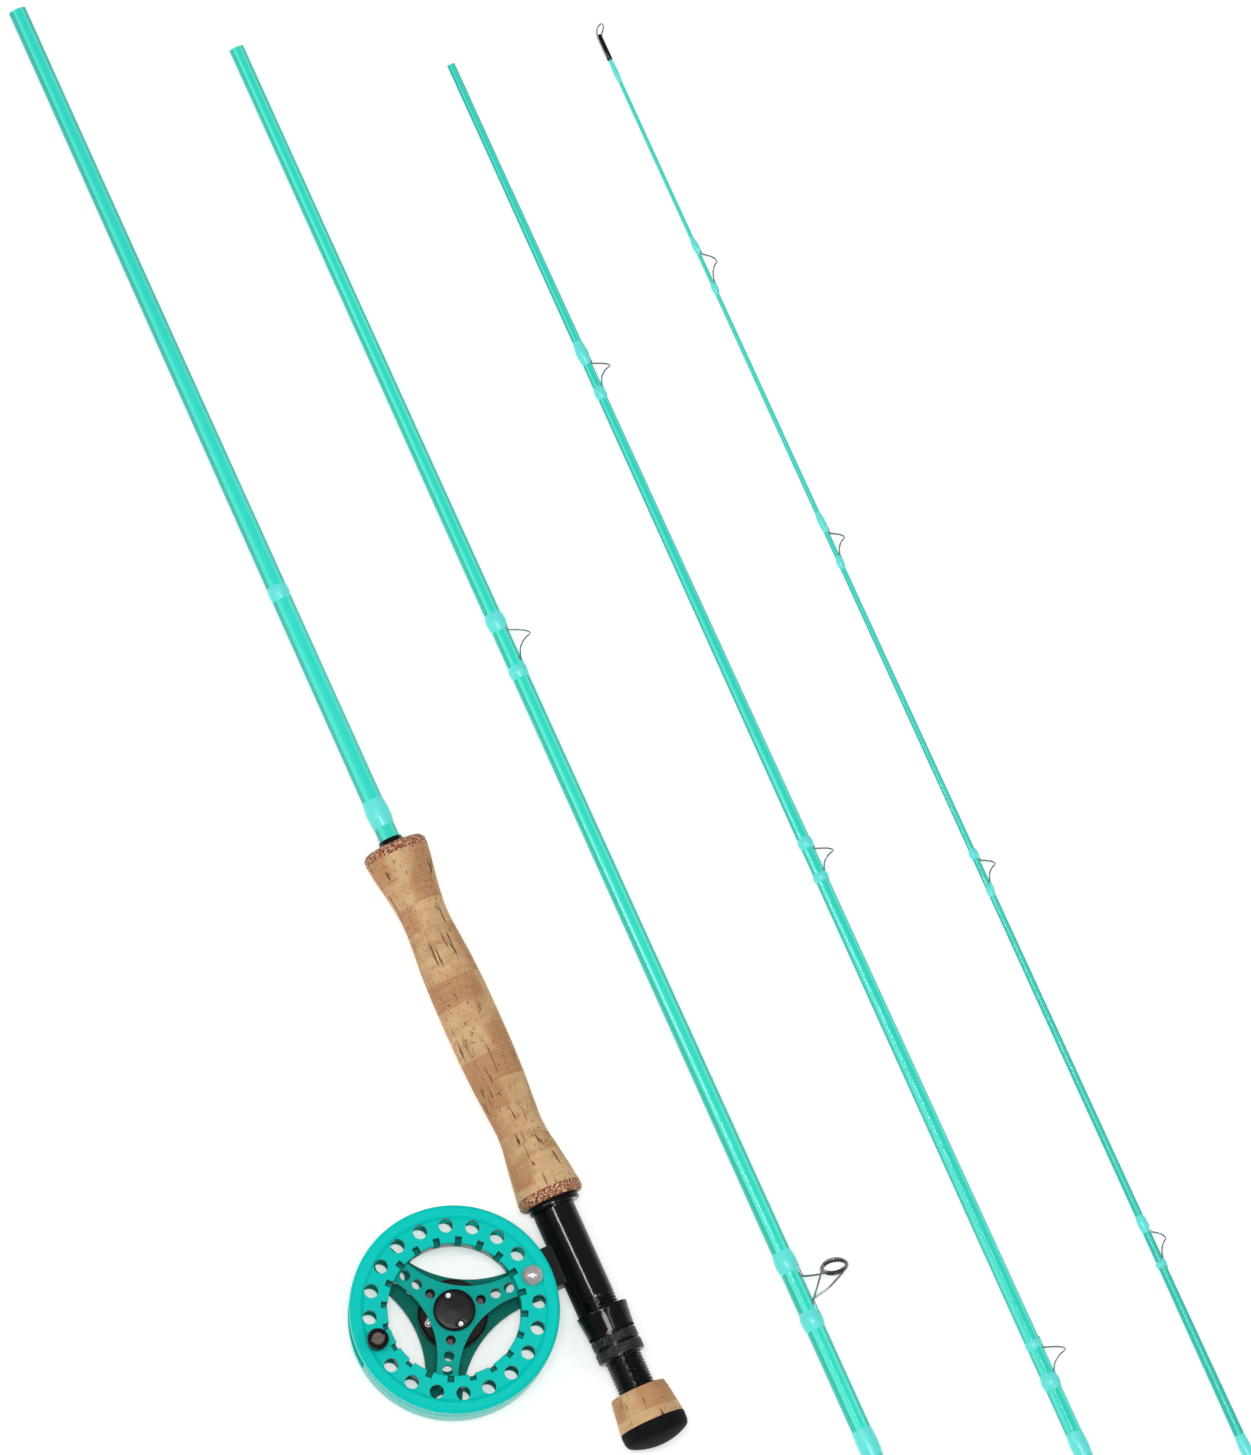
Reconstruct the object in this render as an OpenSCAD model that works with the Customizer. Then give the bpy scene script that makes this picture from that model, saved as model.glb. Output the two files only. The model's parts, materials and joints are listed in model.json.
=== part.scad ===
// Four-piece fly rod with a large-arbor reel, laid out flat as four parallel sections.
// The reel's spool axis is the Z axis, the rods run along Y with their tips towards +Y,
// and the set lies on the plane z = 0.

/* [Reel] */
// Diameter of the spool's rim
reel_d = 95; // [93:1:97]
// Height of the spool's drilled face above the surface that the set lies on
face_z = 30; // [29:0.5:31]
// Diameter of the round opening inside the drilled face
opening_d = 60.4; // [58:0.2:61]
// Number of places round the face: drilled holes, the counterweight and the handle
face_places = 20; // [16:2:22]
// Radius of the circle that the face holes lie on
hole_circle_r = 38.4; // [38:0.1:38.8]
// Diameter of each face hole
hole_d = 6.4; // [5:0.2:6.6]
// Diameter of the hub cap
hub_cap_d = 19; // [18:0.5:20]
// Diameter of the drag housing
drag_housing_d = 31.6; // [30:0.2:32.5]
// Diameter of the drag knob
drag_knob_d = 29; // [26:0.5:30]

/* [Handle of the rod] */
// Distance from the spool axis to the axis of the butt section
seat_x = 62.5; // [61.5:0.5:64]
// Height of the butt section's axis
seat_z = 15.6; // [15.6:0.1:16.5]
// Outer diameter of the reel seat's barrel
seat_d = 17.4; // [17.2:0.1:17.6]
// Pitch of the seat's thread
thread_pitch = 1.5; // [1.25:0.25:1.5]
// Length of the grip, both burl rings included
grip_len = 178; // [165:1:185]
// Length that the hood and its lock nuts travel to free the reel foot
hood_travel = 12; // [8:1:14]

/* [Sections] */
// Spacing from the spool axis to the axis of section 2
section_2_x = 149.5; // [147:0.5:152]
// Spacing from the spool axis to the axis of section 3
section_3_x = 237.6; // [234:0.1:240]
// Spacing from the spool axis to the axis of the tip section
section_4_x = 306.6; // [302:0.1:309]
// Length of each ferrule's cylindrical fit
ferrule_len = 46; // [40:1:50]
// Roll of all the line guides above the horizontal, in degrees
guide_roll = 40; // [35:1:45]
// Inner diameter of the stripping guide's ring
stripping_bore_d = 9.8; // [9:0.2:10]

/* [Hidden] */
$fn = 64;
TEAL = "#00c6b6";
BLANK = "#35dcbc";
WRAP = "#78eae4";
BLACK = "#1b1c1e";
STEEL = "#b9bcc0";
CORK = "#d5a670";
BURL = "#8a4f30";

// Small gaps: between touching pieces of one body, in running fits, and in sliding fits
skin = 0.03;
run = 0.08;
slip = 0.15;

// Reel heights, from the surface up
knob_top_z = 5.7;
frame_z = 6.4;
frame_plate_t = 3;
hub_top_z = 10.5;
back_flange_z = 11;
flange_t = 2;
housing_top_z = 18.6;
gear_z = 18.9;
gear_t = 1.3;
star_z = 22;
star_t = 3;
face_t = 2.6;
rim_rise = 1.2;
rim_z = face_z - 4.4;
spindle_top_z = 28;
spindle_r = 3;
tail_r = 2.6;

// Reel radii
rim_r = reel_d / 2;
rim_in_r = rim_r - 5.8;
opening_r = opening_d / 2;
notch_r = opening_r + 3.1;
notch_w = 3;
drum_r = hole_circle_r - 4.2;
back_flange_r = rim_r - 3.9;
frame_r = rim_r - 0.5;
frame_in_r = frame_r - 3;
housing_r = drag_housing_d / 2;
housing_bore_r = 10.9;
sleeve_r = 6.4;
insert_r = 9.3;
arm_hole_r = 2.25;
drag_screw_r = 13.4;
pawl_pin_at = [-12.3, 0];

// Number of teeth on the click gear
click_teeth = 36;

// Places along the butt section, measured along Y from the spool axis
hood_lip_y = 26.3;
grip_y = 29.5;
grip_top_y = grip_y + grip_len;
rear_ring_y = grip_y + 5;
front_ring_y = grip_top_y - 4.7;
check_top_y = grip_top_y + 3.6;
seat_end_y = -64.9;
cork_end_y = -81.1;
cap_end_y = -91.5;
hood_y = [-36.9, -25];
nut_1_y = [-42.4, -37];
nut_2_y = [-48.3, -42.5];
seat_r = seat_d / 2;
foot_end_y = 33;
thread_from_y = -19;
recess_y = 37;

// Tapers of the four blanks as [radius, place along Y], from base to top.
// The last two points of the first three are the ends of the male ferrule.
top_1 = 634;
top_2 = 580.5;
top_3 = 535;
top_4 = 512.4;
base_2 = -134.5;
base_3 = -172.5;
base_4 = -203;
pin_1_r = 4.12;
pin_2_r = 3.5;
pin_3_r = 1.85;
socket_2_r = pin_1_r + 0.05;
socket_3_r = pin_2_r + 0.05;
socket_4_r = pin_3_r + 0.04;
taper_1 = [[5.5, -80], [pin_1_r, top_1 - ferrule_len], [pin_1_r, top_1]];
taper_2 = [[4.6, base_2], [pin_2_r, top_2 - ferrule_len], [pin_2_r, top_2]];
taper_3 = [[3.85, base_3], [3, 140], [2.55, 250], [pin_3_r, top_3 - ferrule_len], [pin_3_r, top_3]];
taper_4 = [[2.45, base_4], [1.85, -80], [1.65, 40], [1.3, 200], [0.92, 420], [0.9, top_4]];

// Heights of the section axes: each lies on its thickest wrap
section_2_z = 5.65;
section_3_z = 4.45;
section_4_z = 2.95;

// Places of the guides along Y, and the heights of their tops above the blank's axis
strip_y = -52.1;
strip_h = 22.6;
// Its ring leans, is twisted about its stem, and stands ahead of the middle of its feet
strip_tilt = 4;
strip_twist = -27;
strip_ahead = 3;
strip_ring_r = 6.65;
strip_bore_r = stripping_bore_d / 2;

// Snake guides: [place along Y, height of the loop, half the gap between its wraps,
// length of the wrap on the tip side, length of the wrap on the butt side]
snake_2 = [[273.5, 13.7, 6.9, 12, 10.2]];
snake_3 = [[374.5, 10.3, 5.4, 12.5, 7.9], [127, 11.5, 5.2, 7.2, 5.9], [-124.8, 13.7, 5.8, 6.9, 7.9]];
snake_4 = [
    [400.8, 6.7, 7, 9.3, 6.1], [258.9, 7.3, 5.3, 13.9, 7.9], [92.5, 7.9, 5.1, 7.9, 7.4],
    [-96.1, 7.5, 6.2, 10.3, 6.1]
];
snake_wire_r = 0.36;
tip_tube_len = 13;

// ---------- shared shapes ----------

// Stands a shape that is drawn about Z along a rod's axis instead, local Z becoming +Y
module along_rod(x, z) {
    translate([x, 0, z]) rotate([-90, 0, 0]) children();
}

// A body of revolution about a rod's axis from points [radius, place along Y]
module turned(x, z, points) {
    along_rod(x, z) rotate_extrude($fn = 96) polygon(points);
}

// A flat ring standing on height z
module ring(inner_r, outer_r, z, t) {
    translate([0, 0, z]) difference() {
        cylinder(r = outer_r, h = t);
        translate([0, 0, -1]) cylinder(r = inner_r, h = t + 2);
    }
}

// Children repeated at angles round Z, out at a radius
module round_z(angles, radius) {
    for (a = angles) rotate([0, 0, a]) translate([radius, 0, 0]) children();
}

// A flat bar with round ends between two points in the plane
module bar_2d(from, to, width) {
    step = to - from;
    translate(from) circle(d = width);
    translate(to) circle(d = width);
    translate(from) rotate(atan2(step[1], step[0]))
        translate([0, -width / 2]) square([norm(step), width]);
}

// Radius of a blank at a place along Y, by linear steps between its taper points
function radius_at(taper, y) = lookup(y, [for (p = taper) [p[1], p[0]]]);

// A curve through control points, with a number of steps between each two
function curve_point(a, b, c, d, t) =
    0.5 * (2 * b + (c - a) * t + (2 * a - 5 * b + 4 * c - d) * t * t + (3 * b - a - 3 * c + d) * t * t * t);
function curve(p, steps) = [
    for (i = [0 : len(p) - 2]) for (k = [0 : steps - 1])
        curve_point(p[max(i - 1, 0)], p[i], p[i + 1], p[min(i + 2, len(p) - 1)], k / steps),
    p[len(p) - 1]
];

function unit(v) = v / norm(v);
// The sideways direction of each ring of a wire, carried along it without twisting
function carried(tangents, first) = [
    for (i = 0, side = first; i < len(tangents);
         i = i + 1, side = i < len(tangents) ? unit(side - tangents[i] * (side * tangents[i])) : side)
        side
];

// A round wire along a list of points
module wire(path, r, sides = 8) {
    last = len(path) - 1;
    tangents = [for (i = [0 : last]) unit(path[min(i + 1, last)] - path[max(i - 1, 0)])];
    start = abs(tangents[0][2]) < 0.9 ? [0, 0, 1] : [1, 0, 0];
    across = carried(tangents, unit(cross(tangents[0], start)));
    points = [
        for (i = [0 : last]) for (k = [0 : sides - 1])
            path[i] + r * (cos(360 * k / sides) * across[i]
                + sin(360 * k / sides) * cross(tangents[i], across[i]))
    ];
    walls = [
        for (i = [0 : last - 1]) for (k = [0 : sides - 1])
            let (m = (k + 1) % sides, low = i * sides, high = low + sides)
                [low + k, high + k, high + m, low + m]
    ];
    ends = [[for (k = [0 : sides - 1]) k], [for (k = [sides - 1 : -1 : 0]) last * sides + k]];
    polyhedron(points, concat(walls, ends), convexity = 6);
}

// ---------- rod blanks, wraps and guides ----------

// A hollow blank: a socket at its base, then a bore that narrows in step with the taper
module blank(x, z, taper, socket_r, bore_share, bore_end_y) {
    base_y = taper[0][1];
    bore_y = base_y + (socket_r > 0 ? ferrule_len : 0);
    outline = [
        each taper,
        [bore_share * radius_at(taper, bore_end_y), bore_end_y],
        [bore_share * radius_at(taper, bore_y), bore_y],
        each socket_r > 0 ? [[socket_r, bore_y], [socket_r, base_y]] : []
    ];
    color(BLANK) turned(x, z, outline);
}

// One thread wrap from y0 to y1: a spindle-shaped bulge on the blank's surface
module wrap(x, z, taper, y0, y1, bulge) {
    base_r = radius_at(taper, y0) + skin / 2;
    steps = 8;
    crown = [
        for (i = [0 : steps])
            [base_r + 0.12 + bulge * pow(sin(180 * i / steps), 0.7), y0 + (y1 - y0) * i / steps]
    ];
    turned(x, z, [[base_r, y0], each crown, [base_r, y1]]);
}

// Distance of a snake guide's feet from the blank's axis: they rest on its thicker end
snake_foot = 5.4;
function snake_foot_r(taper, guide) =
    radius_at(taper, guide[0] - guide[2] - snake_foot) + snake_wire_r + skin;

// The two wraps of each snake guide, with room inside for the wire's feet
module guide_wraps(x, z, taper, guides, bulge) {
    for (g = guides) difference() {
        union() {
            wrap(x, z, taper, g[0] + g[2], g[0] + g[2] + g[3], bulge);
            wrap(x, z, taper, g[0] - g[2] - g[4], g[0] - g[2], bulge);
        }
        translate([x, g[0], z]) rotate([0, -guide_roll, 0])
            translate([snake_foot_r(taper, g), 0, 0]) rotate([90, 0, 0])
                cylinder(r = snake_wire_r + skin, h = 2 * (g[2] + snake_foot + skin), center = true);
    }
}

// A snake guide: one wire that climbs on one side, crosses over and comes down on the other
module snake(x, z, taper, guide) {
    foot_x = snake_foot_r(taper, guide);
    gap = guide[2];
    rise = guide[1] - foot_x;
    spread = rise * 0.45;
    half = [
        [foot_x, -gap - snake_foot, 0],
        [foot_x, -gap - 0.7, 0],
        [foot_x, -gap, 0],
        [foot_x + 0.18 * rise, -gap + 0.15 * gap, 0.35 * spread],
        [foot_x + 0.52 * rise, -gap * 0.56, spread],
        [foot_x + 0.86 * rise, -gap * 0.2, 0.78 * spread]
    ];
    other = [for (i = [len(half) - 1 : -1 : 0]) [half[i][0], -half[i][1], -half[i][2]]];
    color(STEEL) translate([x, guide[0], z]) rotate([0, -guide_roll, 0])
        wire(curve(concat(half, [[guide[1], 0, 0]], other), 3), snake_wire_r);
}

module butt_blank() {
    blank(seat_x, seat_z, taper_1, 0, 0.78, top_1);
}
module butt_wraps() {
    color(WRAP) {
        wrap(seat_x, seat_z, taper_1, 331, 343, 0.55);
        wrap(seat_x, seat_z, taper_1, 225, 236, 0.6);
        wrap(seat_x, seat_z, taper_1, check_top_y + 0.2, check_top_y + 12.8, 0.55);
    }
}
module blank_2() {
    blank(section_2_x, section_2_z, taper_2, socket_2_r, 0.74, top_2);
}
// Distance of the stripping guide's feet from the blank's axis, and the radius of its wire
strip_foot_r = radius_at(taper_2, strip_y - 16) + 0.6;
strip_wire_r = 0.5;
module wraps_2() {
    color(WRAP) {
        guide_wraps(section_2_x, section_2_z, taper_2, snake_2, 0.75);
        difference() {
            union() {
                wrap(section_2_x, section_2_z, taper_2, strip_y + 6.6, strip_y + 22, 0.95);
                wrap(section_2_x, section_2_z, taper_2, strip_y - 20.6, strip_y - 5.9, 0.95);
            }
            translate([section_2_x, strip_y, section_2_z]) rotate([0, -guide_roll, 0])
                translate([strip_foot_r, 0, 0]) rotate([90, 0, 0])
                    cylinder(r = strip_wire_r + 0.12, h = 26, center = true);
        }
        wrap(section_2_x, section_2_z, taper_2, base_2, base_2 + 14.5, 0.3);
    }
}
module blank_3() {
    blank(section_3_x, section_3_z, taper_3, socket_3_r, 0.68, top_3);
}
module wraps_3() {
    color(WRAP) {
        guide_wraps(section_3_x, section_3_z, taper_3, snake_3, 0.58);
        wrap(section_3_x, section_3_z, taper_3, base_3, base_3 + 13, 0.3);
    }
}
module blank_4() {
    blank(section_4_x, section_4_z, taper_4, socket_4_r, 0.4, 60);
}
module wraps_4() {
    color(WRAP) {
        guide_wraps(section_4_x, section_4_z, taper_4, snake_4, 0.5);
        wrap(section_4_x, section_4_z, taper_4, base_4, base_4 + 12.5, 0.3);
        wrap(section_4_x, section_4_z, taper_4, top_4 - 16, tube_y - skin, 0.25);
    }
}

// Ring of the stripping guide: ahead of its feet, leaning a little and twisted about its stem
module at_strip_ring() {
    translate([section_2_x, strip_y, section_2_z]) rotate([0, -guide_roll, 0])
        translate([strip_h, strip_ahead, 0]) rotate([strip_twist, 0, 0]) rotate([0, 0, strip_tilt])
            rotate([-90, 0, 0]) children();
}
module stripping_ring() {
    color(BLACK) at_strip_ring() rotate_extrude($fn = 96)
        polygon([
            [strip_bore_r, -0.8], [strip_bore_r + 0.35, -1.15], [strip_ring_r - 0.8, -1.15],
            [strip_ring_r - 0.8, 1.15], [strip_bore_r + 0.35, 1.15], [strip_bore_r, 0.8]
        ]);
}
module stripping_frame() {
    lip = strip_ring_r - 0.1;
    leg_end = strip_ring_r + 0.25;
    near = [strip_h - lip * cos(strip_tilt), strip_ahead - lip * sin(strip_tilt), 0];
    foot = strip_foot_r;
    color(STEEL) {
        at_strip_ring() rotate_extrude($fn = 96) translate([strip_ring_r - 0.38, 0])
            circle(r = 0.38, $fn = 20);
        translate([section_2_x, strip_y, section_2_z]) rotate([0, -guide_roll, 0]) {
            wire(curve([
                [foot, 12.5, 0], [foot, 7.3, 0], [foot, 6.6, 0], [foot + 1.6, 5.4, 0],
                [near[0] - 3.5, 3.4, 0], near], 5), strip_wire_r);
            wire([[foot, -12.5, 0], [foot, -9, 0], [foot, -5.9, 0]], strip_wire_r);
            for (side = [-1, 1])
                wire(curve([
                    [foot, -7.6, 0.08 * side], [foot, -6, 0.08 * side], [foot + 1.6, -5, 0.7 * side],
                    [foot + 8, -2.6 + side, 4.3 * side],
                    [strip_h - 0.3, strip_ahead - side * leg_end * sin(strip_twist),
                        side * leg_end * cos(strip_twist)]
                ], 5), strip_wire_r);
        }
    }
}
module snake_guide_1() { snake(section_2_x, section_2_z, taper_2, snake_2[0]); }
module snake_guide_2() { snake(section_3_x, section_3_z, taper_3, snake_3[0]); }
module snake_guide_3() { snake(section_3_x, section_3_z, taper_3, snake_3[1]); }
module snake_guide_4() { snake(section_3_x, section_3_z, taper_3, snake_3[2]); }
module snake_guide_5() { snake(section_4_x, section_4_z, taper_4, snake_4[0]); }
module snake_guide_6() { snake(section_4_x, section_4_z, taper_4, snake_4[1]); }
module snake_guide_7() { snake(section_4_x, section_4_z, taper_4, snake_4[2]); }
module snake_guide_8() { snake(section_4_x, section_4_z, taper_4, snake_4[3]); }

tube_y = top_4 - 3.8;
module tip_top_tube() {
    color(BLACK) turned(section_4_x, section_4_z, [
        [0.93, tube_y], [1.25, tube_y], [1.25, tube_y + tip_tube_len - 0.4],
        [1.05, tube_y + tip_tube_len], [0, tube_y + tip_tube_len], [0, top_4 + 0.2], [0.93, top_4 + 0.2]
    ]);
}
module tip_top_loop() {
    wire_r = 0.35;
    beside = 1.25 + wire_r + skin;
    top_y = tube_y + tip_tube_len;
    half = [
        [0, tube_y + 1, beside], [0, tube_y + 5, beside], [0.1, top_y - 1.2, beside],
        [1, top_y + 0.9, 2.3], [2.2, top_y + 2.3, 2.7], [3.3, top_y + 3.4, 1.7]
    ];
    other = [for (i = [len(half) - 1 : -1 : 0]) [half[i][0], half[i][1], -half[i][2]]];
    color(STEEL) translate([section_4_x, 0, section_4_z]) rotate([0, -guide_roll, 0])
        wire(curve(concat(half, [[3.8, top_y + 3.9, 0]], other), 3), wire_r);
}

// ---------- handle of the rod ----------

module winding_check() {
    color(BLACK) turned(seat_x, seat_z, [
        [5.02, grip_top_y + skin], [7, grip_top_y + skin], [6.5, grip_top_y + 0.9],
        [5.9, grip_top_y + 2], [5.5, check_top_y], [5.02, check_top_y]
    ]);
}
module grip_front_ring() {
    color(BURL) turned(seat_x, seat_z, [
        [5.02, front_ring_y + skin], [15, front_ring_y + skin], [15, grip_top_y - 1.6],
        [13.6, grip_top_y], [5.02, grip_top_y]
    ]);
}
module grip_cork() {
    // Outline of a full-wells grip as shares of its length, with the radius at each
    wells = [
        [0, 15], [0.05, 13.9], [0.1, 12.6], [0.15, 11.2], [0.19, 10.75], [0.24, 11.3],
        [0.32, 12.3], [0.41, 12.9], [0.5, 13], [0.6, 12.8], [0.68, 12.2], [0.745, 11.3],
        [0.79, 10.65], [0.83, 10.75], [0.87, 11.5], [0.92, 12.8], [0.97, 14.3], [1, 14.9]
    ];
    length = front_ring_y - rear_ring_y;
    color(CORK) turned(seat_x, seat_z, [
        for (w = wells) [w[1], rear_ring_y + skin + w[0] * (length - skin)],
        [5.35, front_ring_y], [5.35, recess_y + 0.3], [11.7, recess_y + 0.3], [11.7, rear_ring_y + skin]
    ]);
}
module grip_rear_ring() {
    color(BURL) turned(seat_x, seat_z, [
        [11.7, grip_y], [14.2, grip_y], [15.2, grip_y + 1.4], [15.1, rear_ring_y], [11.7, rear_ring_y]
    ]);
}

// Sector about the side of the seat that faces the reel, where the foot lies
module foot_sector(half_angle, points) {
    along_rod(seat_x, seat_z) rotate([0, 0, 180 - half_angle])
        rotate_extrude(angle = 2 * half_angle, $fn = 96) polygon(points);
}
module fixed_hood() {
    color(BLACK) difference() {
        turned(seat_x, seat_z, [
            [seat_r + run, hood_lip_y], [11.7, hood_lip_y], [12.1, hood_lip_y + 0.5],
            [12.1, grip_y - 0.1], [11.65, grip_y - 0.1], [11.65, recess_y], [seat_r + run, recess_y]
        ]);
        foot_sector(43, [
            [seat_r - 0.5, hood_lip_y - 1], [11.2, hood_lip_y - 1], [10.35, foot_end_y + 1],
            [seat_r - 0.5, foot_end_y + 1]
        ]);
    }
}
module seat_tube() {
    ridges = floor((thread_from_y - seat_end_y) / thread_pitch) - 1;
    root_r = seat_r - 0.45;
    thread = [
        for (i = [0 : ridges - 1]) let (y = seat_end_y + 1.2 + i * thread_pitch) each [
            [root_r, y], [seat_r, y + 0.35 * thread_pitch], [seat_r, y + 0.55 * thread_pitch],
            [root_r, y + 0.9 * thread_pitch]
        ]
    ];
    color(BLACK) difference() {
        turned(seat_x, seat_z, [
            [seat_r - 1.1, seat_end_y], [seat_r, seat_end_y], each thread,
            [seat_r, thread_from_y], [seat_r, recess_y], [seat_r - 1.1, recess_y]
        ]);
        keyway(3, seat_r - 0.6, thread_from_y - seat_end_y + 2, seat_end_y - 2);
    }
}
// A straight bar along the seat for the keyway and the hood's key
module keyway(width, inner_r, length, y) {
    along_rod(seat_x, seat_z) rotate([0, 0, -112]) translate([inner_r, -width / 2, y])
        cube([2, width, length]);
}
module seat_arbors() {
    color("burlywood") for (y = [-58, -18, 18])
        turned(seat_x, seat_z, [
            [5.55, y], [seat_r - 1.1 - skin, y], [seat_r - 1.1 - skin, y + 14], [5.55, y + 14]
        ]);
}
module sliding_hood() {
    color(BLACK) difference() {
        union() {
            turned(seat_x, seat_z, [
                [seat_r + run, hood_y[0]], [10.9, hood_y[0]], [11.8, hood_y[1] - 3],
                [12.2, hood_y[1] - 0.6], [12, hood_y[1]], [seat_r + run, hood_y[1]]
            ]);
            keyway(3 - 2 * slip, seat_r - 0.45, hood_y[1] - hood_y[0], hood_y[0]);
        }
        foot_sector(43, [
            [seat_r - 0.5, hood_y[1] + 1], [11.25, hood_y[1] + 1], [10.35, -foot_end_y - 1],
            [seat_r - 0.5, -foot_end_y - 1]
        ]);
    }
}
// A lock nut with a straight knurl between two plain shoulders
module lock_nut(span, outer_r) {
    teeth = 48;
    shoulder = 0.7;
    color(BLACK) along_rod(seat_x, seat_z) difference() {
        union() {
            translate([0, 0, span[0]]) cylinder(r = outer_r - 0.35, h = span[1] - span[0]);
            translate([0, 0, span[0] + shoulder]) linear_extrude(span[1] - span[0] - 2 * shoulder)
                polygon([
                    for (k = [0 : 2 * teeth - 1]) let (r = outer_r - (k % 2 == 0 ? 0 : 0.3))
                        r * [cos(180 * k / teeth), sin(180 * k / teeth)]
                ]);
        }
        translate([0, 0, span[0] - 1]) cylinder(r = seat_r + run, h = span[1] - span[0] + 2, $fn = 96);
    }
}
module lock_nut_front() { lock_nut(nut_1_y, 10.95); }
module lock_nut_rear() { lock_nut(nut_2_y, 11.15); }
module fighting_butt() {
    color(CORK) turned(seat_x, seat_z, [
        [5.6, cork_end_y + skin], [15.3, cork_end_y + skin], [14.8, cork_end_y + 4],
        [13.7, seat_end_y - 4], [12.95, seat_end_y - skin], [5.6, seat_end_y - skin]
    ]);
}
module butt_cap() {
    dome_r = 13.4;
    dome_h = 3.2;
    ball_r = (dome_r * dome_r + dome_h * dome_h) / (2 * dome_h);
    steps = 6;
    dome = [
        for (i = [0 : steps]) let (r = dome_r * i / steps)
            [r, cap_end_y + ball_r - sqrt(ball_r * ball_r - r * r)]
    ];
    color(BLACK) turned(seat_x, seat_z, [
        each dome, [14.6, cap_end_y + 4.2], [15.3, cap_end_y + 6], [15.5, cork_end_y - 1], [15.3, cork_end_y],
        [0, cork_end_y]
    ]);
}

// ---------- reel foot and frame ----------

foot_stem_y = [-8, 10.8];
foot_stem_z = [8.6, 22.6];
foot_screw_y = [-4.3, 7.1];
module reel_foot() {
    color(BLACK) difference() {
        union() {
            foot_sector(40, [
                [seat_r + run, -foot_end_y], [9.9, -foot_end_y], [11, -foot_end_y + 9],
                [11, foot_end_y - 9], [9.9, foot_end_y], [seat_r + run, foot_end_y]
            ]);
            translate([frame_in_r, foot_stem_y[0], foot_stem_z[0]]) cube([
                seat_x - 9.6 - frame_in_r, foot_stem_y[1] - foot_stem_y[0], foot_stem_z[1] - foot_stem_z[0]
            ]);
        }
        cylinder(r = frame_r + skin, h = 40, $fn = 180);
        along_rod(seat_x, seat_z) cylinder(r = seat_r + run, h = 60, center = true, $fn = 96);
        for (y = foot_screw_y) translate([0, y, seat_z]) rotate([0, 90, 0]) {
            cylinder(r = 1.55, h = seat_x);
            translate([0, 0, seat_x - 10.9]) cylinder(r1 = 1.55, r2 = 3.1, h = 1.6);
            translate([0, 0, seat_x - 9.35]) cylinder(r = 3.1, h = 4);
        }
    }
}
module foot_screws() {
    color(STEEL) for (y = foot_screw_y) translate([0, y, seat_z]) rotate([0, 90, 0]) {
        translate([0, 0, frame_in_r + 0.3]) cylinder(r = 1.5, h = seat_x - 10.8 - frame_in_r);
        translate([0, 0, seat_x - 10.85]) cylinder(r1 = 1.5, r2 = 2.9, h = 1.45);
    }
}

// A star of three arms with hollow sides: nearest approach of the sides, and their radius
module star_2d(outer_r, near_r, side_r) {
    difference() {
        circle(r = outer_r, $fn = 180);
        for (a = [60, 180, 300]) rotate(a) translate([near_r + side_r, 0]) circle(r = side_r, $fn = 180);
    }
}

// Angles between which the wall of the reel's cage is closed, opposite its line window
cage_wall = [187, 302];
module reel_frame() {
    top_z = rim_z - 0.4;
    color(TEAL) difference() {
        union() {
            translate([0, 0, frame_z]) linear_extrude(frame_plate_t) star_2d(frame_r - 1, 17.5, 49.2);
            ring(frame_in_r, frame_r, frame_z, 4.4);
            ring(frame_in_r, frame_r, top_z - 3, 3);
            translate([0, 0, frame_z]) cylinder(r = 17.2, h = hub_top_z - frame_z);
            intersection() {
                ring(frame_in_r, frame_r, frame_z, top_z - frame_z);
                union() {
                    translate([30, -13, frame_z]) cube([30, 26, 30]);
                    rotate([0, 0, 95]) translate([30, -5, frame_z]) cube([30, 10, 30]);
                    translate([0, 0, frame_z]) linear_extrude(30) polygon([
                        [0, 0], for (k = [0 : 3])
                            let (a = cage_wall[0] + k * (cage_wall[1] - cage_wall[0]) / 3) 60 * [cos(a), sin(a)]
                    ]);
                }
            }
        }
        cylinder(r = spindle_r + skin, h = 20);
        round_z([0, 120, 240], drag_screw_r) translate([0, 0, hub_top_z - 3]) cylinder(r = 0.95, h = 9);
        for (r = [22, 30.4, 38.8]) round_z([0, 120, 240], r) cylinder(r = 3.25, h = 12);
        for (y = foot_screw_y) translate([30, y, seat_z]) rotate([0, 90, 0]) cylinder(r = 1.52, h = 30);
    }
}
module spindle() {
    color(STEEL) difference() {
        union() {
            translate([0, 0, 1.05]) cylinder(r = 1.95, h = 0.8);
            translate([0, 0, 1.75]) cylinder(r = tail_r, h = 5);
            translate([0, 0, frame_z]) cylinder(r = spindle_r, h = spindle_top_z - frame_z - 0.6);
            translate([0, 0, spindle_top_z - 0.6]) cylinder(r1 = spindle_r, r2 = spindle_r - 0.6, h = 0.6);
            translate([0, 0, hub_top_z + 0.05]) cylinder(r = 5, h = 0.75);
        }
        cylinder(r = 1.03, h = 5);
        ring(tail_r + 0.1, spindle_r + 1, 26.9, 0.8);
    }
}

// ---------- drag, clutch and click ----------

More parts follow.
